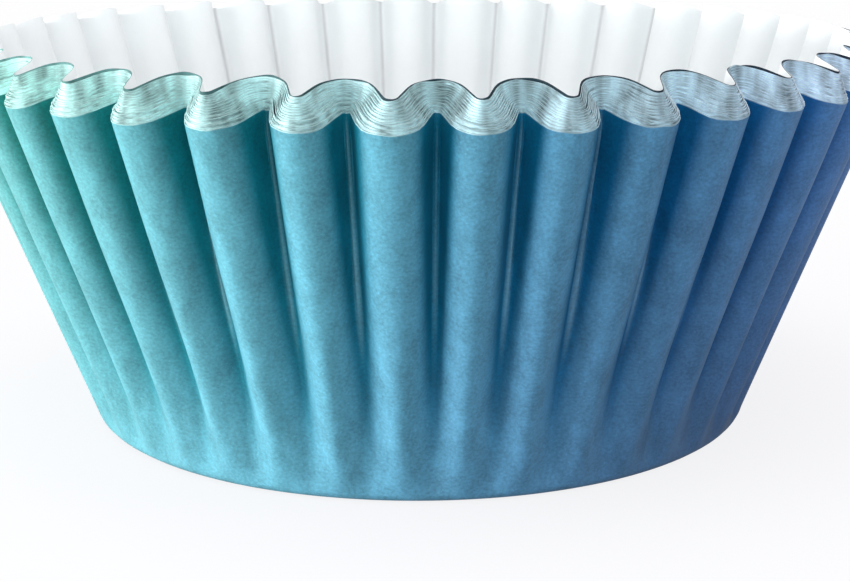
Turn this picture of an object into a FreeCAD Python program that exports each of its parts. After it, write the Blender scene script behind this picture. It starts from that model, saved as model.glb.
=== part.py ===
"""A stack of pleated paper cupcake liners, nested in each other.

Every liner is the same pressed cup: a flat round base, a crease round it, and a wall whose pleats start at the
crease and deepen towards the rim. The liners are cut from equal discs of paper. A liner that sits deeper in
the stack is an inward offset of the outermost one: its base lies higher and its rim stands further up, so the
rims show as a band of paper edges. Its ridges are narrower and its valleys wider, as paper folded over a thick
bundle is: the outermost liner has broad ridges and creased valleys, and the innermost one has broad valleys.
"""
import FreeCAD
import Part
import math
import os
from typing import NamedTuple

PARTS_FOLDER = "parts"
NODE_NAME = "liner_{:02d}"

# Driving dimensions, in millimetres, degrees and counts.
DRIVING_SIZES = {
    "base_diameter": 50.0,         # crease between base and wall, outermost liner
    "paper_disc_diameter": 105.6,  # flat disc that each liner is pressed from
    "ridge_lean": 20.9,            # lean of a ridge from the vertical
    "valley_lean": 14.8,           # lean of a valley from the vertical
    "pleat_count": 40,
    "liner_count": 15,
    "paper_thickness": 0.06,
    "nest_pitch": 0.088,           # height of one base above the base below it
    "ridge_width": 2.6,            # blunt width of a ridge at the outermost liner's rim
    "valley_width": 0.16,          # blunt width of a valley at the outermost liner's rim
    "flank_slope": 66.5,           # slope of a pleat's flanks at the rim, from the wall's own direction
}


class RingPoint(NamedTuple):
    """A point of the pleated section: its distance from the axis, its height and its angle about the axis."""

    radius: float
    height: float
    angle: float

    def vector(self):
        """Return the point as a vector in the part's frame."""
        return FreeCAD.Vector(
            self.radius * math.cos(self.angle),
            self.radius * math.sin(self.angle),
            self.height,
        )


class CupSurface:
    """One face of the pressed paper, at a given depth inside the stack's outermost face.

    The surface has a ring of points round the base, one at each valley, and the rim's zigzag, with two points
    on each ridge and two in each valley.
    """

    def __init__(self, sizes, depth, rim_trim):
        self.pleat_count = int(sizes.pleat_count)
        self.pleat_angle = 2.0 * math.pi / self.pleat_count

        # An offset corner moves inwards by this share of the depth, along the base and along the wall alike.
        ridge_lean = math.radians(sizes.ridge_lean)
        valley_lean = math.radians(sizes.valley_lean)
        corner_share = math.tan((math.pi / 2.0 - ridge_lean) / 2.0)
        wall_length = (sizes.paper_disc_diameter - sizes.base_diameter) / 2.0 + (depth - rim_trim) * corner_share

        self.base_radius = sizes.base_diameter / 2.0 - depth * corner_share
        self.base_height = depth
        self.ridge_radius = self.base_radius + wall_length * math.sin(ridge_lean)
        self.ridge_height = depth + wall_length * math.cos(ridge_lean)
        self.valley_radius = self.base_radius + wall_length * math.sin(valley_lean)
        self.valley_height = depth + wall_length * math.cos(valley_lean)

        # The flanks of two nested pleats stay parallel, so ridges narrow and valleys widen with the depth.
        width_loss = 2.0 * depth * math.tan(math.radians(sizes.flank_slope) / 2.0)
        self.ridge_width = max(sizes.ridge_width - width_loss, sizes.valley_width)
        self.valley_width = sizes.valley_width + width_loss

    def base_ring(self):
        """Return the crease round the base, one point at the foot of each valley."""
        return [
            RingPoint(self.base_radius, self.base_height, (pleat + 0.5) * self.pleat_angle).vector()
            for pleat in range(self.pleat_count)
        ]

    def rim_fold(self, radius, height, angle, width):
        """Return the two rim points of one ridge or valley."""
        half_angle = math.asin(width / 2.0 / radius)
        return [
            RingPoint(radius, height, angle - half_angle).vector(),
            RingPoint(radius, height, angle + half_angle).vector(),
        ]

    def ridge(self, pleat):
        """Return the rim points of one ridge."""
        angle = pleat * self.pleat_angle
        return self.rim_fold(self.ridge_radius, self.ridge_height, angle, self.ridge_width)

    def valley(self, pleat):
        """Return the rim points of the valley that follows a ridge."""
        angle = (pleat + 0.5) * self.pleat_angle
        return self.rim_fold(self.valley_radius, self.valley_height, angle, self.valley_width)

    def rim_ring(self):
        """Return the rim's points in order round the cup."""
        return [point for pleat in range(self.pleat_count) for point in self.ridge(pleat) + self.valley(pleat)]

    def facets(self):
        """Return the surface's flat facets as lists of corners: the base, then each pleat's four."""
        base = self.base_ring()
        facets = [base]
        for pleat in range(self.pleat_count):
            ridge = self.ridge(pleat)
            valley = self.valley(pleat)
            next_ridge = self.ridge(pleat + 1)
            before = base[pleat - 1]
            foot = base[pleat]
            facets.append([before, ridge[0], ridge[1], foot])
            facets.append([foot, ridge[1], valley[0]])
            facets.append([foot, valley[0], valley[1]])
            facets.append([foot, valley[1], next_ridge[0]])
        return facets


def rim_edge(outer_rim, inner_rim):
    """Return the paper's cut edge between two rims, as triangles because its strips are slightly twisted."""
    count = len(outer_rim)
    facets = []
    for i in range(count):
        following = (i + 1) % count
        facets.append([outer_rim[i], outer_rim[following], inner_rim[i]])
        facets.append([outer_rim[following], inner_rim[following], inner_rim[i]])
    return facets


def flat_face(corners):
    """Return a flat face with the given corners."""
    return Part.Face(Part.makePolygon(corners + [corners[0]]))


def liner_shape(sizes, index):
    """Return the solid of one liner, counted from the outermost one, 0.

    Its outer and inner faces are two surfaces one paper thickness apart, joined at the rim by the cut edge.
    The inner face is trimmed there so that the edge is cut square.
    """
    depth = index * sizes.nest_pitch
    paper = sizes.paper_thickness
    outer = CupSurface(sizes, depth, 0.0)
    inner = CupSurface(sizes, depth + paper, 2.0 * paper)
    facets = outer.facets() + inner.facets() + rim_edge(outer.rim_ring(), inner.rim_ring())
    shell = Part.Shell([flat_face(corners) for corners in facets])
    solid = Part.Solid(shell)
    if solid.Volume < 0.0:
        solid.reverse()
    return solid


def make_sheet(document):
    """Add the sheet of driving dimensions and return it."""
    sheet = document.addObject("Spreadsheet::Sheet", "Sizes")
    for row, (name, value) in enumerate(DRIVING_SIZES.items(), start=1):
        sheet.set(f"A{row}", name)
        sheet.set(f"B{row}", str(value))
        sheet.setAlias(f"B{row}", name)
    document.recompute()
    return sheet


def add_liner(document, sheet, index):
    """Add one liner to the document and return its object."""
    name = NODE_NAME.format(index + 1)
    feature = document.addObject("Part::Feature", name)
    feature.Label = name
    feature.Shape = liner_shape(sheet, index)
    feature.Placement = FreeCAD.Placement()
    return feature


def check_objects(document, features):
    """Raise an error if any object of the document failed or any liner isn't one valid solid."""
    for item in document.Objects:
        if "Invalid" in item.State or "Error" in item.State:
            raise RuntimeError(f"{item.Label} failed: {item.State}")
    for feature in features:
        shape = feature.Shape
        if shape.isNull() or not shape.isValid() or len(shape.Solids) != 1:
            raise RuntimeError(f"{feature.Label} isn't one valid solid")


def main():
    """Build the document and write each liner to its own file."""
    os.makedirs(PARTS_FOLDER, exist_ok=True)
    document = FreeCAD.newDocument("CupcakeLinerStack")
    sheet = make_sheet(document)
    features = [add_liner(document, sheet, index) for index in range(int(sheet.liner_count))]
    document.recompute()
    check_objects(document, features)
    for feature in features:
        feature.Shape.exportStep(os.path.join(PARTS_FOLDER, f"{feature.Label}.step"))
    total = sum(feature.Shape.Volume for feature in features)
    print(f"{len(features)} liners, paper volume {total:.1f} cubic mm")


main()
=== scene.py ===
"""A stack of nested cupcake liners on a pale studio floor.

Each liner is a sheet of paper pressed into a pleated cup. A cup is first drawn as a plain turned shape, then
its points are moved into pleats. All liners follow one pressed form, and a liner deeper in the stack lies
further inside it.
"""

import logging
import math
from dataclasses import dataclass
from enum import Enum
from typing import Callable, Mapping, Optional, Sequence, Union

import bpy
import numpy as np
from mathutils import Matrix, Vector


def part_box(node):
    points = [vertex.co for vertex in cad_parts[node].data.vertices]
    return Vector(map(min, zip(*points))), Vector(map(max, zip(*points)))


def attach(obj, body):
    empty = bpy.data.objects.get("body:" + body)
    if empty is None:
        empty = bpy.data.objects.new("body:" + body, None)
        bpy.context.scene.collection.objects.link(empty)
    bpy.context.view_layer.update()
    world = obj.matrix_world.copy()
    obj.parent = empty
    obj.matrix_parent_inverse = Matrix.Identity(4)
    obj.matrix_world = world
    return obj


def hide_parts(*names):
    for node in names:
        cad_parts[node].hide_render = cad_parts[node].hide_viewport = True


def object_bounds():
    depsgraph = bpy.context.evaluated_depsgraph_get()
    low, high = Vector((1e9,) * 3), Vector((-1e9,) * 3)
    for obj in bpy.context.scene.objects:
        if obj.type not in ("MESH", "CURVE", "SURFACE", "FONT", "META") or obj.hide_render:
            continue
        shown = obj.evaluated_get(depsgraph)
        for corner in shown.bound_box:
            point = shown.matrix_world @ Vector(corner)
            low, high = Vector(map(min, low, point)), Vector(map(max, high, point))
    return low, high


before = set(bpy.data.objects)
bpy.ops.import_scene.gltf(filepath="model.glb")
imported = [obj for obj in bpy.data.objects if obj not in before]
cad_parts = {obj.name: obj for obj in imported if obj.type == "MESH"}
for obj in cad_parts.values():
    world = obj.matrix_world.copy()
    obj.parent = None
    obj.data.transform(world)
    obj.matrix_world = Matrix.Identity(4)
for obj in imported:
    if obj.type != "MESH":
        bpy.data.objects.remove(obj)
CAD_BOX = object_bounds()

LOG = logging.getLogger("cupcake_liners")
BODY = "root"
MM = 0.001
SEED = 11

# The paper's dents are three ripples, each with its height, its rate up the wall and its phase.
DENT_BANDS = ((1.0, 2.1, 0.4), (0.7, 5.3, 1.7), (0.5, 9.1, 0.0))

RIM_DEPTH = "rim_depth"
VALLEY_SHADE = "valley_shade"
FOLD_WEAR_AND_HIGHLIGHT = "fold_wear_and_highlight"
GROOVE_SHADE = "groove_shade"

Number = Union[float, "Value"]
Colour = tuple[float, float, float, float]


class Side(Enum):
    """The three kinds of surface on a sheet, and their places in its list of materials."""

    PRINTED = 0
    WHITE = 1
    CUT_EDGE = 2


@dataclass(frozen=True)
class Grid:
    """How many steps a sheet is drawn with: up its bend and wall, and across each half pleat."""

    bend: int
    wall: int
    ridge: int
    flank: int
    valley: int


class Fineness(Enum):
    """How finely a liner is drawn: one that shows as a wall, or one that shows only at its rim."""

    WALL = Grid(bend=5, wall=18, ridge=6, flank=3, valley=8)
    RIM_ONLY = Grid(bend=3, wall=7, ridge=5, flank=2, valley=5)


def srgb(red: int, green: int, blue: int) -> Colour:
    """Turn a colour written as on a screen, 0 to 255, into Blender's linear values.

    Args:
        red: The red share.
        green: The green share.
        blue: The blue share.

    Returns:
        The linear colour with an alpha of 1.
    """
    linear = []
    for share in (red, green, blue):
        part = share / 255.0
        linear.append(part / 12.92 if part <= 0.04045 else ((part + 0.055) / 1.055) ** 2.4)
    return (linear[0], linear[1], linear[2], 1.0)


class Value:
    """A number that changes over a surface: the output of a shader node, with arithmetic."""

    def __init__(self, graph: "ShaderGraph", socket: bpy.types.NodeSocket) -> None:
        """Wrap one output socket of a graph."""
        self.graph = graph
        self.socket = socket

    def _math(self, operation: str, first: Number, second: Number) -> "Value":
        """Add a Math node and return its output."""
        node = self.graph.node("ShaderNodeMath", {"operation": operation}, {0: first, 1: second})
        return Value(self.graph, node.outputs[0])

    def __add__(self, other: Number) -> "Value":
        """Return this value plus another."""
        return self._math("ADD", self, other)

    def __radd__(self, other: Number) -> "Value":
        """Return another value plus this one."""
        return self._math("ADD", other, self)

    def __sub__(self, other: Number) -> "Value":
        """Return this value less another."""
        return self._math("SUBTRACT", self, other)

    def __rsub__(self, other: Number) -> "Value":
        """Return another value less this one."""
        return self._math("SUBTRACT", other, self)

    def __mul__(self, other: Number) -> "Value":
        """Return this value times another."""
        return self._math("MULTIPLY", self, other)

    def __rmul__(self, other: Number) -> "Value":
        """Return another value times this one."""
        return self._math("MULTIPLY", other, self)

    def ramp(self, low: float, high: float) -> "Value":
        """Return 0 below low, 1 above high and a smooth rise between; low may be the larger one.

        Args:
            low: The value that gives 0.
            high: The value that gives 1.

        Returns:
            The smooth step.
        """
        node = self.graph.node(
            "ShaderNodeMapRange",
            {"interpolation_type": "SMOOTHSTEP"},
            {"Value": self, "From Min": low, "From Max": high},
        )
        return Value(self.graph, node.outputs[0])


class ShaderGraph:
    """The node tree of one material or of the world, built from Python expressions."""

    def __init__(self, name: str, world: bool = False) -> None:
        """Make an empty material, or an empty world, of the given name."""
        self.owner = bpy.data.worlds.new(name) if world else bpy.data.materials.new(name)
        self.owner.use_nodes = True
        self.tree = self.owner.node_tree
        self.tree.nodes.clear()
        self.output = self.tree.nodes.new("ShaderNodeOutputWorld" if world else "ShaderNodeOutputMaterial")
        self.coordinates = self.node("ShaderNodeTexCoord").outputs
        self.place = self.coordinates["Object"]

    def node(
        self,
        kind: str,
        settings: Optional[Mapping[str, object]] = None,
        inputs: Optional[Mapping[Union[int, str], object]] = None,
    ) -> bpy.types.Node:
        """Add a node, set its settings and then its sockets.

        Args:
            kind: The node's type.
            settings: Its properties; "stops" holds the positions and colours of a colour ramp.
            inputs: Socket number, name or identifier to a number, a colour, a socket or a Value.

        Returns:
            The node.
        """
        node = self.tree.nodes.new(kind)
        for key, setting in (settings or {}).items():
            if key == "stops":
                self._set_stops(node, setting)
            else:
                setattr(node, key, setting)
        for key, given in (inputs or {}).items():
            socket = self._socket(node, key)
            if isinstance(given, Value):
                given = given.socket
            if isinstance(given, bpy.types.NodeSocket):
                self.tree.links.new(given, socket)
            else:
                socket.default_value = given
        return node

    @staticmethod
    def _socket(node: bpy.types.Node, key: Union[int, str]) -> bpy.types.NodeSocket:
        """Find an input socket by its number, identifier or name."""
        if isinstance(key, int):
            return node.inputs[key]
        for socket in node.inputs:
            if socket.identifier == key:
                return socket
        return node.inputs[key]

    @staticmethod
    def _set_stops(node: bpy.types.Node, stops: Sequence[tuple[float, Colour]]) -> None:
        """Give a colour ramp its stops."""
        elements = node.color_ramp.elements
        while len(elements) > 1:
            elements.remove(elements[-1])
        elements[0].position, elements[0].color = stops[0]
        for position, colour in stops[1:]:
            elements.new(position).color = colour

    def axis(self, name: str) -> Value:
        """Return one coordinate of the object's own space: X, Y or Z, in metres."""
        node = self.node("ShaderNodeSeparateXYZ", inputs={0: self.place})
        return Value(self, node.outputs[name])

    def height_share(self) -> Value:
        """Return the height as a share of the stack's, 0 on the floor and 1 at the highest rim."""
        return self.axis("Z") * (1.0 / CAD_BOX[1].z)

    def seen(self, glossy: float) -> Value:
        """Return 1 for what the camera sees and 0 for other light.

        Args:
            glossy: What a gloss sees, between the two.

        Returns:
            The number.
        """
        path = self.node("ShaderNodeLightPath").outputs
        return Value(self, path["Is Camera Ray"]) + Value(self, path["Is Glossy Ray"]) * glossy

    def attribute(self, name: str) -> Value:
        """Return a number that the mesh holds at its points."""
        node = self.node("ShaderNodeAttribute", {"attribute_name": name})
        return Value(self, node.outputs["Fac"])

    def noise(
        self,
        grain: float,
        detail: float = 2.0,
        stretch: Optional[Vector] = None,
        place: Optional[bpy.types.NodeSocket] = None,
    ) -> Value:
        """Return cloudy noise between 0 and 1.

        Args:
            grain: The size of its patches, in metres.
            detail: How many finer layers it has.
            stretch: How much it is drawn out along X, Y and Z.
            place: The coordinates it is read at; the object's own if none are given.

        Returns:
            The noise.
        """
        place = place or self.place
        if stretch is not None:
            scale = tuple(1.0 / part for part in stretch)
            place = self.node("ShaderNodeMapping", inputs={"Vector": place, "Scale": scale}).outputs[0]
        inputs = {"Vector": place, "Scale": 1.0 / grain, "Detail": detail}
        return Value(self, self.node("ShaderNodeTexNoise", inputs=inputs).outputs[0])

    def rim_streaks(self, run: float, width: float) -> Value:
        """Return fine streaks between 0 and 1 that run along a sheet's rim.

        Args:
            run: The streaks' length, in metres.
            width: Their width, as a share of the sheet's faded strip.

        Returns:
            The streaks.
        """
        across = self.attribute(RIM_DEPTH) * (run / width)
        place = self.node("ShaderNodeCombineXYZ", inputs={0: self.axis("X"), 1: self.axis("Y"), 2: across})
        return self.noise(run, detail=3.0, place=place.outputs[0])

    def colour_ramp(self, position: Value, stops: Sequence[tuple[float, Colour]]) -> bpy.types.NodeSocket:
        """Return a colour that runs through the given stops."""
        node = self.node("ShaderNodeValToRGB", {"stops": stops}, {0: position})
        return node.outputs[0]

    def mix(
        self,
        share: Number,
        first: Union[Colour, bpy.types.NodeSocket],
        second: Union[Colour, bpy.types.NodeSocket],
    ) -> bpy.types.NodeSocket:
        """Return a colour between two colours."""
        node = self.node(
            "ShaderNodeMix",
            {"data_type": "RGBA"},
            {"Factor_Float": share, "A_Color": first, "B_Color": second},
        )
        return node.outputs[2]

    def multiply(
        self,
        share: Number,
        first: bpy.types.NodeSocket,
        second: bpy.types.NodeSocket,
    ) -> bpy.types.NodeSocket:
        """Return a colour multiplied by another to the given share."""
        node = self.node(
            "ShaderNodeMix",
            {"data_type": "RGBA", "blend_type": "MULTIPLY"},
            {"Factor_Float": share, "A_Color": first, "B_Color": second},
        )
        return node.outputs[2]

    def shade(self, colour: bpy.types.NodeSocket, strength: Value) -> bpy.types.NodeSocket:
        """Return a colour made darker or lighter by a strength about 1."""
        node = self.node("ShaderNodeVectorMath", {"operation": "SCALE"}, {0: colour, "Scale": strength})
        return node.outputs[0]

    def bump(self, height: Value, depth: float) -> bpy.types.NodeSocket:
        """Return a normal roughened by a height between 0 and 1, whose full depth is given in metres."""
        node = self.node("ShaderNodeBump", inputs={"Strength": 1.0, "Distance": depth, "Height": height})
        return node.outputs[0]

    def finish(self, shader: bpy.types.Node) -> Union[bpy.types.Material, bpy.types.World]:
        """Connect the last shader to the surface and return the material or the world."""
        self.tree.links.new(shader.outputs[0], self.output.inputs["Surface"])
        return self.owner


@dataclass(frozen=True)
class Dye:
    """A colour that runs across the stack from its left to its right, as the liners' print does."""

    left: Colour
    middle: Colour
    right: Colour
    half_width: float = 34.0 * MM
    lower_shift: float = 0.12

    def colour(self, graph: ShaderGraph) -> bpy.types.NodeSocket:
        """Return the colour in a graph.

        Args:
            graph: The material's graph.

        Returns:
            The colour's socket.
        """
        across = graph.axis("X") * (0.5 / self.half_width) + 0.5
        position = across + (1.0 - graph.height_share()) * self.lower_shift
        return graph.colour_ramp(position, ((0.0, self.left), (0.5, self.middle), (1.0, self.right)))


PRINT_DYE = Dye(left=srgb(101, 172, 165), middle=srgb(101, 170, 190), right=srgb(96, 136, 200))
# The print's colour is multiplied by this one deep in the pleats, as painted shade.
VALLEY_SHADE_DYE = Dye(left=srgb(50, 196, 174), middle=srgb(30, 176, 188), right=srgb(30, 160, 204))
# Pale colour of the cut edges and the rim, also used for the paler print along the valleys' folds, which is
# wear and a painted highlight.
EDGE_AND_FOLD_HIGHLIGHT_DYE = Dye(left=srgb(178, 224, 214), middle=srgb(184, 214, 217), right=srgb(208, 222, 242))
DARK_EDGE_DYE = Dye(left=srgb(126, 178, 172), middle=srgb(46, 72, 80), right=srgb(38, 46, 66))


@dataclass(frozen=True)
class PrintedPaper:
    """The coloured outer face: satin greaseproof paper with fine fibres.

    The print is darkened and deepened inside the pleats by painted shade, so the ridges stay paler. Along the
    valleys' folds it is paler, as wear and as a painted highlight, and it is paler at the cut rim. Towards
    the foot of the stack's right side it is darker, as painted shade.
    """

    fibre_grain: float = 0.20 * MM
    speck_grain: float = 0.14 * MM
    cloud_grain: float = 1.6 * MM
    fibre_depth: float = 0.005 * MM
    plain_strength: float = 0.12
    fibre_strength: float = 0.92
    cloud_strength: float = 0.80
    speck_strength: float = 0.30
    speck_range: tuple[float, float] = (0.62, 0.76)
    foot_shade_range: tuple[float, float] = (4.0 * MM, 24.0 * MM)
    foot_shade: float = 0.48
    valley_shade_range: tuple[float, float] = (0.0, 0.45)
    wear_and_highlight: float = 0.15
    wear_and_highlight_range: tuple[float, float] = (0.2, 1.1)
    streak_run: float = 0.9 * MM
    streak_width: float = 0.35
    streak_strength: float = 3.0
    edge_clouds: float = 0.6
    edge_loss: float = 0.80
    fade_range: tuple[float, float] = (1.0, 0.3)

    def material(self) -> bpy.types.Material:
        """Build the material and return it."""
        graph = ShaderGraph("printed_paper")
        fibres = graph.noise(self.fibre_grain, detail=6.0, stretch=Vector((1.1, 1.1, 0.9)))
        clouds = graph.noise(self.cloud_grain, detail=4.0, stretch=Vector((0.8, 0.8, 1.6)))
        specks = graph.noise(self.speck_grain, detail=2.0).ramp(*self.speck_range)
        strength = self.plain_strength + fibres * self.fibre_strength
        strength = strength + clouds * self.cloud_strength + specks * self.speck_strength
        # Painted shade: the print is darker towards the foot of the stack's right side.
        painted_foot_shade = graph.axis("X").ramp(*self.foot_shade_range) * (1.0 - graph.height_share())
        print_with_foot_shade = graph.shade(PRINT_DYE.colour(graph), strength * (1.0 - painted_foot_shade * self.foot_shade))
        # Painted shade: the print is darker and more saturated deep in the pleats.
        inside = graph.attribute(VALLEY_SHADE).ramp(*self.valley_shade_range)
        print_with_painted_light = graph.multiply(inside, print_with_foot_shade, VALLEY_SHADE_DYE.colour(graph))
        # Wear and painted highlight: the print is paler along the crests of the valleys' folds.
        fold_wear_and_highlight_colour = graph.mix(self.wear_and_highlight, print_with_foot_shade, EDGE_AND_FOLD_HIGHLIGHT_DYE.colour(graph))
        print_with_painted_light = graph.mix(graph.attribute(FOLD_WEAR_AND_HIGHLIGHT).ramp(*self.wear_and_highlight_range), print_with_painted_light, fold_wear_and_highlight_colour)
        streaks = graph.rim_streaks(self.streak_run, self.streak_width)
        edge_strength = streaks * self.streak_strength + clouds * self.edge_clouds - self.edge_loss
        edge = graph.shade(EDGE_AND_FOLD_HIGHLIGHT_DYE.colour(graph), edge_strength)
        colour = graph.mix(graph.attribute(RIM_DEPTH).ramp(*self.fade_range), print_with_painted_light, edge)
        shader = graph.node(
            "ShaderNodeBsdfPrincipled",
            inputs={
                "Base Color": colour,
                "Roughness": 0.38 + fibres * 0.14,
                "Specular IOR Level": 0.5,
                "Normal": graph.bump(fibres, self.fibre_depth),
            },
        )
        return graph.finish(shader)


@dataclass(frozen=True)
class WhitePaper:
    """The bare inner face: matt white paper with faint clouds of fibre, and painted shade that makes it
    greyer in its pleats' grooves.
    """

    fibre_grain: float = 0.4 * MM
    cloud_grain: float = 3.0 * MM
    fibre_depth: float = 0.008 * MM
    dull: Colour = srgb(237, 240, 241)
    bright: Colour = srgb(244, 247, 248)
    groove_shade: Colour = srgb(198, 199, 201)

    def material(self) -> bpy.types.Material:
        """Build the material and return it."""
        graph = ShaderGraph("white_paper")
        fibres = graph.noise(self.fibre_grain, detail=4.0)
        clouds = graph.noise(self.cloud_grain, detail=2.0)
        plain = graph.mix(clouds * 0.6 + fibres * 0.4, self.dull, self.bright)
        # Painted shade: the white is greyer along the inner face's grooves.
        white = graph.mix(graph.attribute(GROOVE_SHADE), plain, self.groove_shade)
        shader = graph.node(
            "ShaderNodeBsdfPrincipled",
            inputs={
                "Base Color": white,
                "Roughness": 0.62 + fibres * 0.12,
                "Specular IOR Level": 0.3,
                "Normal": graph.bump(fibres, self.fibre_depth),
            },
        )
        return graph.finish(shader)


@dataclass(frozen=True)
class RoughEdge:
    """A rough cut edge of the paper, whose fibres took up more or less of the dye."""

    name: str
    dye: Dye
    fibre_grain: float
    least_strength: float
    fibre_strength: float

    def material(self) -> bpy.types.Material:
        """Build the material and return it."""
        graph = ShaderGraph(self.name)
        fibres = graph.noise(self.fibre_grain, detail=3.0)
        colour = graph.shade(self.dye.colour(graph), self.least_strength + fibres * self.fibre_strength)
        shader = graph.node(
            "ShaderNodeBsdfPrincipled",
            inputs={"Base Color": colour, "Roughness": 0.7, "Specular IOR Level": 0.25},
        )
        return graph.finish(shader)


# The plain cut edge is pale. The innermost sheet's shows as a thin dark line round the white.
CUT_EDGE = RoughEdge("cut_edge", EDGE_AND_FOLD_HIGHLIGHT_DYE, 0.25 * MM, least_strength=0.32, fibre_strength=0.9)
DARK_EDGE = RoughEdge("innermost_dark_edge", DARK_EDGE_DYE, 0.6 * MM, least_strength=0.3, fibre_strength=1.2)


@dataclass(frozen=True)
class FloorFinish:
    """The pale studio floor, which keeps the shadow near the stack and is plain further away."""

    near: Colour = srgb(244, 242, 250)
    far: Colour = srgb(254, 254, 255)
    bounce: Colour = srgb(48, 90, 100)
    fade_from: float = 0.04
    fade_to: float = 0.12
    veil: float = 0.85
    gloss: float = 0.25

    def material(self) -> bpy.types.Material:
        """Build the material and return it."""
        graph = ShaderGraph("studio_floor")
        seen = graph.seen(self.gloss)
        lit = graph.node("ShaderNodeBsdfDiffuse", inputs={"Color": graph.mix(seen, self.bounce, self.near)})
        plain = graph.node("ShaderNodeEmission", inputs={"Color": self.far, "Strength": 1.0})
        distance = graph.node("ShaderNodeVectorMath", {"operation": "LENGTH"}, {0: graph.place})
        away = Value(graph, distance.outputs["Value"]).ramp(self.fade_from, self.fade_to)
        mixed = graph.node("ShaderNodeMixShader", inputs={0: (self.veil + away * (1.0 - self.veil)) * seen})
        graph.tree.links.new(lit.outputs[0], mixed.inputs[1])
        graph.tree.links.new(plain.outputs[0], mixed.inputs[2])
        return graph.finish(mixed)


@dataclass(frozen=True)
class Backdrop:
    """The pale room round the stack: white where it is seen, with a soft light mostly from low down."""

    colour: Colour = srgb(254, 254, 255)
    low_light: float = 1.45
    high_light: float = 0.26
    gloss: float = 0.14

    def world(self) -> bpy.types.World:
        """Build the world and return it."""
        graph = ShaderGraph("backdrop", world=True)
        towards = graph.node("ShaderNodeSeparateXYZ", inputs={0: graph.coordinates["Generated"]})
        upward = Value(graph, towards.outputs["Z"])
        light = self.low_light + upward.ramp(0.0, 0.8) * (self.high_light - self.low_light)
        seen = graph.seen(self.gloss)
        strength = light * (1.0 - seen) + seen
        glow = graph.node("ShaderNodeBackground", inputs={"Color": self.colour, "Strength": strength})
        return graph.finish(glow)


@dataclass(frozen=True)
class PleatSection:
    """The shape of half a pleat across the rim, from a ridge, 0, to a valley, 1.

    It is an arc on the ridge, a straight flank and an arc in the valley. The stack's outermost face has broad
    round ridges and narrow valleys, and its innermost face the reverse, as paper round a thick bundle has. A
    share from 0 to 1 says how far inside the stack a face lies.
    """

    half_pitch: float
    outer_depth: float = 2.95 * MM
    inner_depth: float = 2.48 * MM
    outer_ridge: float = 2.00 * MM
    inner_ridge: float = 0.45 * MM
    outer_valley: float = 0.24 * MM
    inner_valley: float = 1.90 * MM
    crease_zone: float = 0.62 * MM

    def depth(self, share: np.ndarray) -> np.ndarray:
        """Return the pleats' depth at the rim."""
        return self.outer_depth + (self.inner_depth - self.outer_depth) * share

    def rounds(self, share: np.ndarray) -> tuple[np.ndarray, np.ndarray]:
        """Return the radii of the ridge's arc and of the valley's."""
        ridge = self.outer_ridge + (self.inner_ridge - self.outer_ridge) * share
        valley = self.outer_valley + (self.inner_valley - self.outer_valley) * share
        return ridge, valley

    def slope(self, share: np.ndarray) -> np.ndarray:
        """Return the flank's angle from the wall's own direction."""
        ridge, valley = self.rounds(share)
        rise = self.depth(share) - ridge - valley
        span = np.hypot(self.half_pitch, rise)
        return np.arcsin((ridge + valley) / span) + np.arctan2(rise, self.half_pitch)

    def drop(self, across: np.ndarray, share: np.ndarray) -> np.ndarray:
        """Return how far the section lies below the ridge, as a share of the pleat's depth.

        Args:
            across: Places from the ridge, 0, to the valley, 1.
            share: How far inside the stack the face lies at each place.

        Returns:
            The drops, 0 on the ridge and 1 in the valley.
        """
        place = np.clip(across, 0.0, 1.0) * self.half_pitch
        depth = self.depth(share)
        slope = self.slope(share)
        ridge, valley = self.rounds(share)
        ridge_end = ridge * np.sin(slope)
        valley_start = self.half_pitch - valley * np.sin(slope)
        on_ridge = ridge - np.sqrt(np.maximum(ridge**2 - place**2, 0.0))
        left = self.half_pitch - place
        in_valley = depth - valley + np.sqrt(np.maximum(valley**2 - left**2, 0.0))
        on_flank = ridge * (1.0 - np.cos(slope)) + (place - ridge_end) * np.tan(slope)
        lower = np.where(place > valley_start, in_valley, on_flank)
        return np.where(place < ridge_end, on_ridge, lower) / depth

    def samples(self, share: float, grid: Grid) -> np.ndarray:
        """Return the places from ridge to valley at which a face is drawn.

        Args:
            share: How far inside the stack the face lies.
            grid: The steps on the ridge's arc, on the flank and from its foot to the valley.

        Returns:
            The places, from 0 to just before 1.
        """
        level = np.array(share)
        ridge, valley = self.rounds(level)
        reach = float(np.sin(self.slope(level)))
        ridge_end = float(ridge) * reach / self.half_pitch
        valley_start = 1.0 - max(float(valley) * reach, self.crease_zone) / self.half_pitch
        parts = [
            np.linspace(0.0, ridge_end, grid.ridge, endpoint=False),
            np.linspace(ridge_end, valley_start, grid.flank, endpoint=False),
            np.linspace(valley_start, 1.0, grid.valley, endpoint=False),
        ]
        return np.concatenate(parts)


class Waves:
    """A gentle seeded ripple round the stack: a sum of waves whose lengths divide the circle."""

    def __init__(self, rng: np.random.Generator, lowest: int, highest: int, count: int) -> None:
        """Draw the waves.

        Args:
            rng: The source of chance.
            lowest: The fewest periods round the stack.
            highest: The most periods round the stack.
            count: How many waves are summed.
        """
        self.periods = rng.integers(lowest, highest + 1, count)
        self.phases = rng.uniform(0.0, 2.0 * math.pi, count)
        self.heights = rng.normal(0.0, 1.0, count) / math.sqrt(count)

    def at(self, angle: np.ndarray) -> np.ndarray:
        """Return the ripple's height, about -2 to 2, at the given angles."""
        total = np.zeros_like(angle)
        for period, phase, height in zip(self.periods, self.phases, self.heights):
            total = total + height * np.sin(period * angle + phase)
        return total


@dataclass(frozen=True)
class Station:
    """A place along the pressed sheet, from the middle of the base to the rim.

    base, bend and wall each run from 0 to 1 along their own stretch, one after the other.
    """

    base: float
    bend: float
    wall: float


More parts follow.
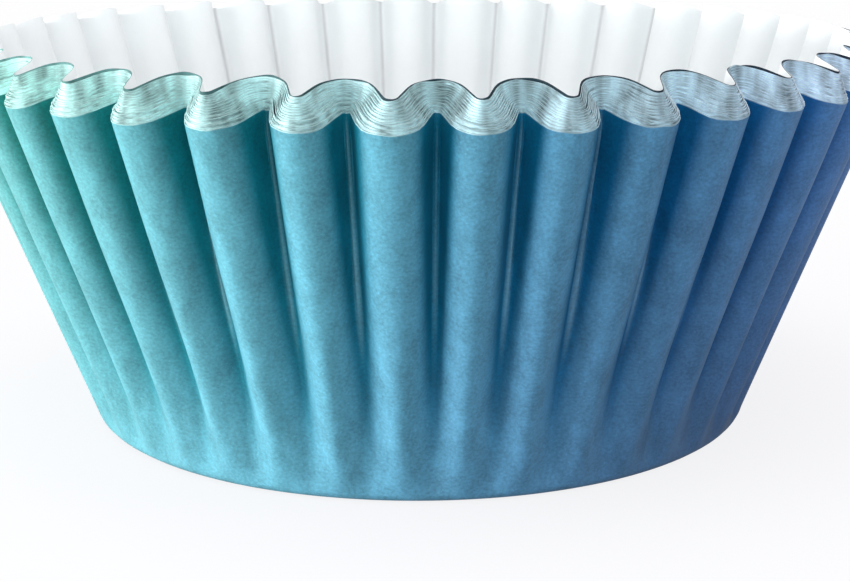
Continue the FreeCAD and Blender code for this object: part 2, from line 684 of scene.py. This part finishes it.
@dataclass(frozen=True)
class Layer:
    """How one sheet lies at a ring of points: its depth inside the stack, and what sets it apart.

    depth is the distance inside the stack's outermost face, share is the same as a share of the whole stack,
    stretch is the extra length of its wall, and lift is how far it bows outwards.
    """

    depth: np.ndarray
    share: np.ndarray
    stretch: np.ndarray
    lift: np.ndarray


@dataclass(frozen=True)
class FoldPlace:
    """Where angles lie among the form's folds.

    across is the place between the nearest folds, from ridge, 0, to valley, 1. The leans are those of that
    ridge and that valley, and number is the valley's.
    """

    across: np.ndarray
    ridge_lean: np.ndarray
    valley_lean: np.ndarray
    number: np.ndarray


@dataclass
class PressedForm:
    """The form that every liner is pressed to, as the outermost liner's outer face.

    Sizes are in metres and angles in radians. The pleats differ slightly from each other, and all the liners
    share those differences, because they are pressed together.
    """

    base_radius: float = 25.0 * MM
    disc_radius: float = 52.8 * MM
    ridge_lean: float = math.radians(20.9)
    valley_lean: float = math.radians(14.8)
    bend_radius: float = 1.1 * MM
    least_bend: float = 0.3 * MM
    pleat_onset: float = 0.66
    steepest_onset: float = 3.0
    soft_wall: float = 0.75
    pleat_count: int = 40
    flat_radius: float = 20.5 * MM
    angle_jitter: float = math.radians(0.28)
    lean_jitter: float = math.radians(0.16)
    crumple: float = 0.03 * MM
    crumple_rise: float = 6.0
    fold_height: float = 0.50 * MM
    fold_width: float = 0.12 * MM
    fold_spread: float = 0.45 * MM
    fold_foot: float = 0.25
    fold_rise: float = 0.3
    fold_at_rim: float = 0.3
    fold_below_rim: float = 14.0
    groove_shade_width: float = 0.22 * MM

    def __post_init__(self) -> None:
        """Draw the small differences between the pleats."""
        rng = np.random.default_rng(SEED)
        count = self.pleat_count
        self.ridge_shift = rng.normal(0.0, self.angle_jitter, count)
        self.valley_shift = rng.normal(0.0, self.angle_jitter, count)
        self.ridge_tilt = rng.normal(0.0, self.lean_jitter, count)
        self.valley_tilt = rng.normal(0.0, self.lean_jitter, count)
        self.fold_size = rng.uniform(0.55, 1.25, count)
        self.crumples = [Waves(rng, 14, 64, 9) for _ in DENT_BANDS]
        self.wall = self.disc_radius - self.base_radius
        rim_radius = self.base_radius + self.wall * math.sin((self.ridge_lean + self.valley_lean) / 2.0)
        self.section = PleatSection(math.pi * rim_radius / count)

    @property
    def pleat_angle(self) -> float:
        """Return the angle from one ridge to the next."""
        return 2.0 * math.pi / self.pleat_count

    def knots(self) -> tuple[np.ndarray, np.ndarray]:
        """Return the ridges' and valleys' angles in turn, with their leans, as two arrays."""
        order = np.arange(self.pleat_count)
        ridges = (order + 0.0) * self.pleat_angle + self.ridge_shift
        valleys = (order + 0.5) * self.pleat_angle + self.valley_shift
        angles = np.stack([ridges, valleys], -1).ravel()
        leans = np.stack([self.ridge_lean + self.ridge_tilt, self.valley_lean + self.valley_tilt], -1).ravel()
        return angles, leans

    def columns(self, halves: np.ndarray) -> np.ndarray:
        """Return the angles of a liner's columns of points.

        Args:
            halves: Places from a ridge, 0, to a valley, 1, in rising order.

        Returns:
            The angles once round, in rising order.
        """
        angles, _ = self.knots()
        following = np.append(angles[1:], angles[0] + 2.0 * math.pi)
        back = np.concatenate([[0.0], 1.0 - halves[:0:-1]])
        result = []
        for index, (start, end) in enumerate(zip(angles, following)):
            steps = halves if index % 2 == 0 else back
            result.append(start + (end - start) * steps)
        return np.concatenate(result)

    def fold_place(self, angle: np.ndarray) -> FoldPlace:
        """Find where angles, of any turn, lie among the folds."""
        angles, leans = self.knots()
        last = len(angles) - 1
        turn = 2.0 * math.pi
        base = np.mod(angle - angles[0], turn) + angles[0]
        spread = np.append(angles, angles[0] + turn)
        index = np.clip(np.searchsorted(spread, base, side="right") - 1, 0, last)
        share = (base - spread[index]) / (spread[index + 1] - spread[index])
        following = (index + 1) % (last + 1)
        from_ridge = index % 2 == 0
        return FoldPlace(
            across=np.where(from_ridge, share, 1.0 - share),
            ridge_lean=np.where(from_ridge, leans[index], leans[following]),
            valley_lean=np.where(from_ridge, leans[following], leans[index]),
            number=index // 2,
        )

    def surface(self, angle: np.ndarray, station: Station, layer: Layer) -> np.ndarray:
        """Return points of one layer of the form.

        Args:
            angle: The points' angles about the axis.
            station: Where they lie between the base's middle and the rim.
            layer: How the layer lies at those points.

        Returns:
            The points, one row each.
        """
        place = self.fold_place(angle)

        # The pleats are a soft wave near the base and turn into the crisp section further up.
        crisp = min(1.0, station.wall / self.soft_wall)
        crisp = crisp * crisp * (3.0 - 2.0 * crisp)
        wave = 0.5 - 0.5 * np.cos(math.pi * place.across)
        drop = wave + (self.section.drop(place.across, layer.share) - wave) * crisp

        # A point leans less the deeper it lies in its pleat, and the pleats deepen quickly above the bend.
        deeper = self.section.depth(layer.share) / self.wall - (self.ridge_lean - self.valley_lean)
        onset = min(station.wall**self.pleat_onset / max(station.wall, 1.0e-6), self.steepest_onset)
        lean = place.ridge_lean - (place.ridge_lean - place.valley_lean + deeper) * drop * onset

        # The sheet runs level along the base, then round the bend, then straight up the leaning wall.
        turn = math.pi / 2.0 - lean
        corner = np.tan(turn / 2.0)
        crease = self.base_radius - layer.depth * math.tan((math.pi / 2.0 - self.ridge_lean) / 2.0)
        bend_radius = np.maximum(self.bend_radius - layer.depth, self.least_bend)
        tangent = bend_radius * corner
        part = turn * station.bend
        wall_length = (self.disc_radius - crease - tangent + layer.stretch) * station.wall
        out = self.flat_radius + (crease - tangent - self.flat_radius) * station.base
        out = out + bend_radius * np.sin(part) + wall_length * np.sin(lean)
        up = layer.depth + bend_radius * (1.0 - np.cos(part)) + wall_length * np.cos(lean)
        lift = self.crumple_at(angle, station.wall) + layer.lift
        out = out + lift * np.sin(part)
        up = up - lift * np.cos(part)
        return np.stack([out * np.cos(angle), out * np.sin(angle), up], -1)

    def crumple_at(self, angle: np.ndarray, wall: float) -> np.ndarray:
        """Return the paper's slight dents at a height of the wall."""
        total = np.zeros_like(angle)
        for waves, (height, rate, phase) in zip(self.crumples, DENT_BANDS):
            total = total + height * (waves.at(angle) * math.sin(rate * wall + phase))
        return self.crumple * total * min(1.0, self.crumple_rise * wall)

    def valley_fold(self, angle: np.ndarray, wall: float) -> np.ndarray:
        """Return the fold that stands in each outer valley, 0 beside it and about 1 on its crest.

        The fold is narrow at the rim, widens downwards and dies out in the lower third of the wall.
        """
        place = self.fold_place(angle)
        left = (1.0 - place.across) * self.section.half_pitch
        width = self.fold_width + self.fold_spread * (1.0 - wall) ** 1.2
        grown = min(1.0, max(0.0, (wall - self.fold_foot) / self.fold_rise))
        below_rim = min(1.0, self.fold_at_rim + self.fold_below_rim * (1.0 - wall))
        return grown * below_rim * self.fold_size[place.number] * np.exp(-((left / width) ** 2))

    def valley_shade(self, angle: np.ndarray, wall: float, share: np.ndarray) -> np.ndarray:
        """Return how deep inside a pleat the points lie, 0 on a ridge and 1 in a valley at the rim, for the
        painted shade in the pleats.
        """
        return self.section.drop(self.fold_place(angle).across, share) * wall**0.8

    def groove_shade(self, angle: np.ndarray, wall: float) -> np.ndarray:
        """Return 1 along the ridges, which are grooves on the inner face, and 0 beside them, for the painted
        shade in the grooves.
        """
        aside = self.fold_place(angle).across * self.section.half_pitch
        return np.exp(-((aside / self.groove_shade_width) ** 2)) * wall**0.5


@dataclass
class Liner:
    """One paper liner of the stack."""

    number: int
    form: PressedForm
    fineness: Fineness
    layer_at: Callable[[np.ndarray, Station], Layer]
    share: float
    rim_fade: float
    paper: float = 0.045 * MM
    smooth_angle: float = math.radians(38.0)

    @property
    def node(self) -> str:
        """Return the name of the solid that this sheet stands for."""
        return f"liner_{self.number:02d}"

    def stations(self) -> list[Station]:
        """Return the places along the sheet that have a ring of points, closest together at the rim."""
        grid = self.fineness.value
        bends = np.linspace(0.0, 1.0, grid.bend + 1)[1:]
        walls = np.sin(np.linspace(0.0, 0.5 * math.pi, grid.wall + 1)[1:])
        rings = [Station(0.0, 0.0, 0.0), Station(1.0, 0.0, 0.0)]
        rings += [Station(1.0, float(bend), 0.0) for bend in bends]
        rings += [Station(1.0, 1.0, float(wall)) for wall in walls]
        return rings

    def angles(self) -> np.ndarray:
        """Return the angles of the sheet's columns of points."""
        return self.form.columns(self.form.section.samples(self.share, self.fineness.value))

    def turned_cup(self, columns: int, rings: int) -> bpy.types.Object:
        """Draw the sheet as a plain cup, ring by ring from the base.

        Args:
            columns: Points in each ring.
            rings: How many rings there are.

        Returns:
            The cup, whose rings lie one above the other at even steps.
        """
        bpy.ops.object.select_all(action="DESELECT")
        bpy.ops.mesh.primitive_circle_add(
            vertices=columns, radius=1.0, fill_type="NOTHING", location=(0.0, 0.0, 0.0)
        )
        cup = bpy.context.object
        bpy.ops.object.mode_set(mode="EDIT")
        for _ in range(rings - 1):
            bpy.ops.mesh.extrude_region_move(TRANSFORM_OT_translate={"value": (0.0, 0.0, 1.0)})
        bpy.ops.mesh.select_all(action="DESELECT")
        bpy.ops.object.mode_set(mode="OBJECT")
        lowest = [vertex for vertex in cup.data.vertices if vertex.co.z < 0.5]
        for vertex in lowest:
            vertex.select = True
        bpy.ops.object.mode_set(mode="EDIT")
        bpy.ops.mesh.select_mode(type="VERT")
        bpy.ops.mesh.edge_face_add()
        bpy.ops.mesh.select_all(action="SELECT")
        bpy.ops.mesh.normals_make_consistent(inside=False)
        bpy.ops.object.mode_set(mode="OBJECT")
        return cup

    def press(self, cup: bpy.types.Object, angles: np.ndarray, stations: Sequence[Station]) -> None:
        """Move the plain cup's points to the pressed form.

        Args:
            cup: The plain cup.
            angles: The angle of each column.
            stations: The place of each ring.
        """
        mesh = cup.data
        places = np.empty(len(mesh.vertices) * 3)
        mesh.vertices.foreach_get("co", places)
        places = places.reshape(-1, 3)
        rings = np.rint(places[:, 2]).astype(int)
        turn = np.mod(np.arctan2(places[:, 1], places[:, 0]), 2.0 * math.pi)
        columns = np.rint(turn / (2.0 * math.pi) * len(angles)).astype(int) % len(angles)
        table = np.empty((len(stations), len(angles), 3))
        for ring, station in enumerate(stations):
            table[ring] = self.form.surface(angles, station, self.layer_at(angles, station))
        mesh.vertices.foreach_set("co", table[rings, columns].ravel())
        self.note(mesh, RIM_DEPTH, self.below_rim(stations)[rings])
        self.note(mesh, VALLEY_SHADE, self.valley_shades(angles, stations)[rings, columns])
        self.note(mesh, FOLD_WEAR_AND_HIGHLIGHT, self.fold_wear_and_highlight(angles, stations)[rings, columns])
        self.note(mesh, GROOVE_SHADE, self.groove_shades(angles, stations)[rings, columns])
        mesh.update()

    @staticmethod
    def note(mesh: bpy.types.Mesh, name: str, values: np.ndarray) -> None:
        """Write a number to each point of a mesh, for the materials."""
        attribute = mesh.attributes.new(name, "FLOAT", "POINT")
        attribute.data.foreach_set("value", values)

    def below_rim(self, stations: Sequence[Station]) -> np.ndarray:
        """Return each ring's distance below the rim, as a share of the faded strip."""
        return np.array([self.form.wall * (1.0 - station.wall) / self.rim_fade for station in stations])

    def valley_shades(self, angles: np.ndarray, stations: Sequence[Station]) -> np.ndarray:
        """Return how deep inside a pleat each point lies, for the painted shade in the pleats, one row for
        each ring.
        """
        share = np.full(len(angles), self.share)
        return np.stack([self.form.valley_shade(angles, station.wall, share) for station in stations])

    def fold_wear_and_highlight(self, angles: np.ndarray, stations: Sequence[Station]) -> np.ndarray:
        """Return where the valleys' folds make the print paler, as wear and as a painted highlight, one row
        for each ring.
        """
        return np.stack([self.form.valley_fold(angles, station.wall) for station in stations])

    def groove_shades(self, angles: np.ndarray, stations: Sequence[Station]) -> np.ndarray:
        """Return where the inner face has painted shade in its grooves, one row for each ring."""
        return np.stack([self.form.groove_shade(angles, station.wall) for station in stations])

    def thicken(self, cup: bpy.types.Object) -> None:
        """Give the sheet its paper thickness towards the inside, with its own sides and cut edge."""
        solid = cup.modifiers.new("paper", "SOLIDIFY")
        solid.thickness = self.paper
        solid.offset = -1.0
        solid.material_offset = Side.WHITE.value
        solid.material_offset_rim = Side.CUT_EDGE.value
        bpy.ops.object.modifier_apply(modifier=solid.name)
        bpy.ops.object.shade_smooth_by_angle(angle=self.smooth_angle)

    def build(self, materials: Mapping[Side, bpy.types.Material]) -> bpy.types.Object:
        """Make the liner and dress it.

        Args:
            materials: The material of each side.

        Returns:
            The finished piece.
        """
        angles = self.angles()
        stations = self.stations()
        cup = self.turned_cup(len(angles), len(stations))
        cup.name = f"paper_{self.node}"
        self.press(cup, angles, stations)
        for side in Side:
            cup.data.materials.append(materials[side])
        self.thicken(cup)
        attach(cup, BODY)
        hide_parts(self.node)
        return cup


@dataclass
class LinerStack:
    """The nested liners, with the uneven air between them and their uneven rims."""

    form: PressedForm
    bowed_sheets: float = 4.0
    unevenness: float = 0.5
    rim_jitter: float = 0.02 * MM
    rim_lean: float = 0.05 * MM
    rim_ripple: float = 0.04 * MM
    innermost_rise: float = 0.02 * MM
    outer_fade: float = 0.12 * MM
    inner_fade: float = 0.90 * MM

    def __post_init__(self) -> None:
        """Read the stack's size from the frame and draw its unevenness."""
        nodes = sorted(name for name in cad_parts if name.startswith("liner_"))
        self.count = len(nodes)
        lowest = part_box(nodes[0])[0].z
        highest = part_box(nodes[-1])[0].z
        self.pitch = (highest - lowest) / (self.count - 1)
        rng = np.random.default_rng(SEED + 1)
        self.gaps = [Waves(rng, 3, 17, 5) for _ in range(self.count)]
        self.gap_sizes = rng.uniform(0.7, 1.35, self.count)
        self.rims = [Waves(rng, 5, 150, 18) for _ in range(self.count)]
        self.rim_steps = rng.normal(0.0, self.rim_jitter, self.count)
        self.rim_steps[-1] = self.innermost_rise
        self.lean_sizes = rng.normal(0.0, self.rim_lean, self.count)
        self.lean_turns = rng.uniform(0.0, 2.0 * math.pi, self.count)

    def air(self, angle: np.ndarray, wall: float) -> np.ndarray:
        """Return how far inside the stack each liner's outer face lies, one row for each liner.

        Args:
            angle: The columns' angles.
            wall: The height on the wall, 0 at the bend and 1 at the rim.

        Returns:
            The depths, which keep every sheet clear of the next one.
        """
        paper = Liner.paper
        total_air = (self.count - 1) * (self.pitch - paper)
        shares = []
        for size, waves in zip(self.gap_sizes[1:], self.gaps[1:]):
            uneven = size * np.exp(self.unevenness * waves.at(angle))
            shares.append(1.0 + (uneven - 1.0) * wall)
        shares = np.stack(shares)
        gaps = total_air * shares / shares.sum(0)
        return np.concatenate([np.zeros((1, len(angle))), np.cumsum(gaps + paper, axis=0)])

    def layer_of(self, index: int) -> Callable[[np.ndarray, Station], Layer]:
        """Return the function that says how one liner lies at a ring of points."""
        whole = self.pitch * (self.count - 1)
        bow = max(0.0, 1.0 - index / self.bowed_sheets)

        def layer_at(angle: np.ndarray, station: Station) -> Layer:
            """Return the layer at the given angles and station."""
            depth = self.air(angle, station.wall)[index]
            lean = self.lean_sizes[index] * np.cos(angle - self.lean_turns[index])
            ripple = self.rim_ripple * self.rims[index].at(angle)
            stretch = self.rim_steps[index] + lean + ripple
            lift = bow * self.form.fold_height * self.form.valley_fold(angle, station.wall)
            return Layer(depth=depth, share=depth / whole, stretch=stretch, lift=lift)

        return layer_at

    def build(self) -> list[bpy.types.Object]:
        """Make all the liners and return them, the outermost first."""
        materials = {
            Side.PRINTED: PrintedPaper().material(),
            Side.WHITE: WhitePaper().material(),
            Side.CUT_EDGE: CUT_EDGE.material(),
        }
        dark_edge_material = DARK_EDGE.material()
        dark_edge_materials = {Side.PRINTED: dark_edge_material, Side.WHITE: materials[Side.WHITE], Side.CUT_EDGE: dark_edge_material}
        pieces = []
        for index in range(self.count):
            last = index == self.count - 1
            liner = Liner(
                number=index + 1,
                form=self.form,
                fineness=Fineness.WALL if last or index == 0 else Fineness.RIM_ONLY,
                layer_at=self.layer_of(index),
                share=index / (self.count - 1),
                rim_fade=self.inner_fade if index else self.outer_fade,
            )
            piece = liner.build(dark_edge_materials if last else materials)
            LOG.info("%s: %d faces", piece.name, len(piece.data.polygons))
            pieces.append(piece)
        return pieces


@dataclass(frozen=True)
class SoftLamp:
    """An oblong soft lamp that faces the stack: its place and sides in metres, and its power in watts."""

    name: str
    place: tuple[float, float, float]
    width: float
    height: float
    power: float
    tint: tuple[float, float, float] = (1.0, 1.0, 1.0)

    def hang(self) -> None:
        """Add the lamp to the scene."""
        data = bpy.data.lights.new(self.name, "AREA")
        data.color = self.tint
        data.shape = "RECTANGLE"
        data.size = self.width
        data.size_y = self.height
        data.energy = self.power
        lamp = bpy.data.objects.new(self.name, data)
        target = Vector((0.0, 0.0, CAD_BOX[1].z * 0.5))
        lamp.location = self.place
        lamp.rotation_euler = (target - Vector(self.place)).to_track_quat("-Z", "Y").to_euler()
        bpy.context.scene.collection.objects.link(lamp)


# The key lamp grazes the stack from low on the left, so that each pleat has a bright flank and a dark one.
LAMPS = (
    SoftLamp("key_lamp", (-0.535, -0.128, 0.022), width=0.46, height=0.04, power=5.2),
    SoftLamp("front_lamp", (0.04, -0.60, 0.05), width=0.30, height=0.08, power=0.6, tint=(0.7, 0.94, 1.0)),
    SoftLamp("top_lamp", (-0.04, -0.10, 0.60), width=0.45, height=0.45, power=2.5),
)


@dataclass
class Studio:
    """The floor, the lamps, the world and the camera."""

    floor_size: float = 6.0
    camera_distance: float = 132.4 * MM
    camera_height: float = 40.87 * MM
    camera_side: float = 0.44 * MM
    camera_turn: float = math.radians(2.7)
    camera_pitch: float = math.radians(13.82)
    camera_roll: float = math.radians(-0.16)
    camera_lens: float = 73.47

    def lay_floor(self) -> None:
        """Make the floor just under the stack."""
        bpy.ops.object.select_all(action="DESELECT")
        bpy.ops.mesh.primitive_plane_add(size=self.floor_size, location=(0.0, 0.0, CAD_BOX[0].z))
        floor = bpy.context.object
        floor.name = "studio_floor"
        floor.data.materials.append(FloorFinish().material())

    def light(self) -> None:
        """Hang the lamps and set the world's light."""
        for lamp in LAMPS:
            lamp.hang()
        bpy.context.scene.world = Backdrop().world()

    def set_camera(self) -> None:
        """Place the camera at the photograph's viewing angle."""
        turn = self.camera_turn
        ahead = Vector((-math.sin(turn), math.cos(turn), 0.0))
        right = Vector((math.cos(turn), math.sin(turn), 0.0))
        data = bpy.data.cameras.new("camera")
        data.lens = self.camera_lens
        data.sensor_width = 36.0
        data.clip_start = 0.005
        data.clip_end = 20.0
        camera = bpy.data.objects.new("camera", data)
        camera.location = right * self.camera_side - ahead * self.camera_distance
        camera.location.z = CAD_BOX[0].z + self.camera_height
        level = Matrix.Rotation(turn, 4, "Z") @ Matrix.Rotation(math.pi / 2.0 - self.camera_pitch, 4, "X")
        rolled = level @ Matrix.Rotation(self.camera_roll, 4, "Z")
        camera.rotation_euler = rolled.to_euler()
        bpy.context.scene.collection.objects.link(camera)
        bpy.context.scene.camera = camera

    def build(self) -> None:
        """Make the whole studio."""
        self.lay_floor()
        self.light()
        self.set_camera()
        bpy.context.scene.view_settings.view_transform = "Standard"


def main() -> None:
    """Build the stack and the studio, and report each piece."""
    logging.basicConfig(level=logging.INFO, format="%(name)s: %(message)s")
    stack = LinerStack(PressedForm())
    pieces = stack.build()
    LOG.info("%d liners built", len(pieces))
    Studio().build()


if __name__ == "__main__":
    main()
